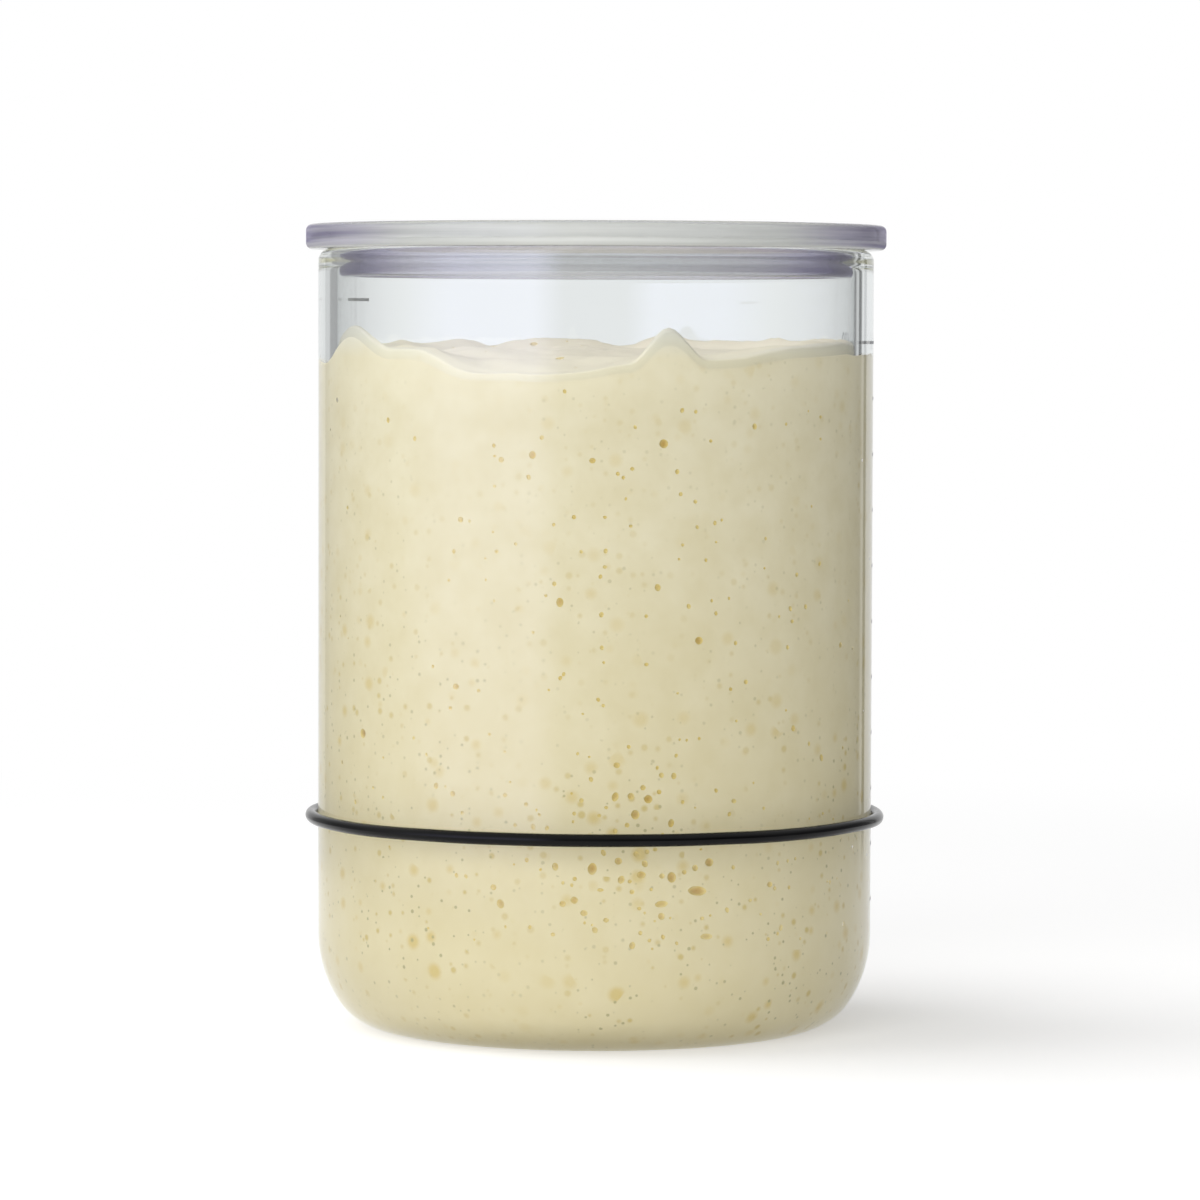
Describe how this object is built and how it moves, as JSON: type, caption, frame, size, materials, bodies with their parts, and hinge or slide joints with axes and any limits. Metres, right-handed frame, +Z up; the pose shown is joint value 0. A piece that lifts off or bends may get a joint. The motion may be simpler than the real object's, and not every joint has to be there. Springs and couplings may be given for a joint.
{
  "type": "sourdough starter jar",
  "caption": "Straight-sided round-heeled glass jar with a clear drop-in lid, a sliding rubber marker band, two printed scales and starter inside.",
  "frame": {"origin": "centre of the flat face that the jar stands on", "axes": "+Z up along the jar's axis; -Y is the front; +X is to the right seen from the front"},
  "size_m": [0.0942, 0.0942, 0.13],
  "materials": {
    "borosilicate_glass": "clear, fire polished",
    "enamel_print": "fired matt grey enamel",
    "starter_dough": "wet, bubbly batter",
    "black_rubber": "satin",
    "clear_plastic": "clear, polished, faint violet tint"
  },
  "bodies": {
    "jar": {"jar": "borosilicate_glass", "millilitre_scale": "enamel_print", "ounce_scale": "enamel_print", "starter": "starter_dough"},
    "band": {"marker_band": "black_rubber"},
    "lid": {"lid": "clear_plastic"}
  },
  "joints": [
    {"name": "lid_lift", "type": "slide", "parent": "jar", "child": "lid", "axis": [0, 0, 1], "range_m": [0, 0.04]},
    {"name": "band_slide", "type": "slide", "parent": "jar", "child": "band", "axis": [0, 0, 1], "range_m": [-0.016, 0.08]}
  ]
}
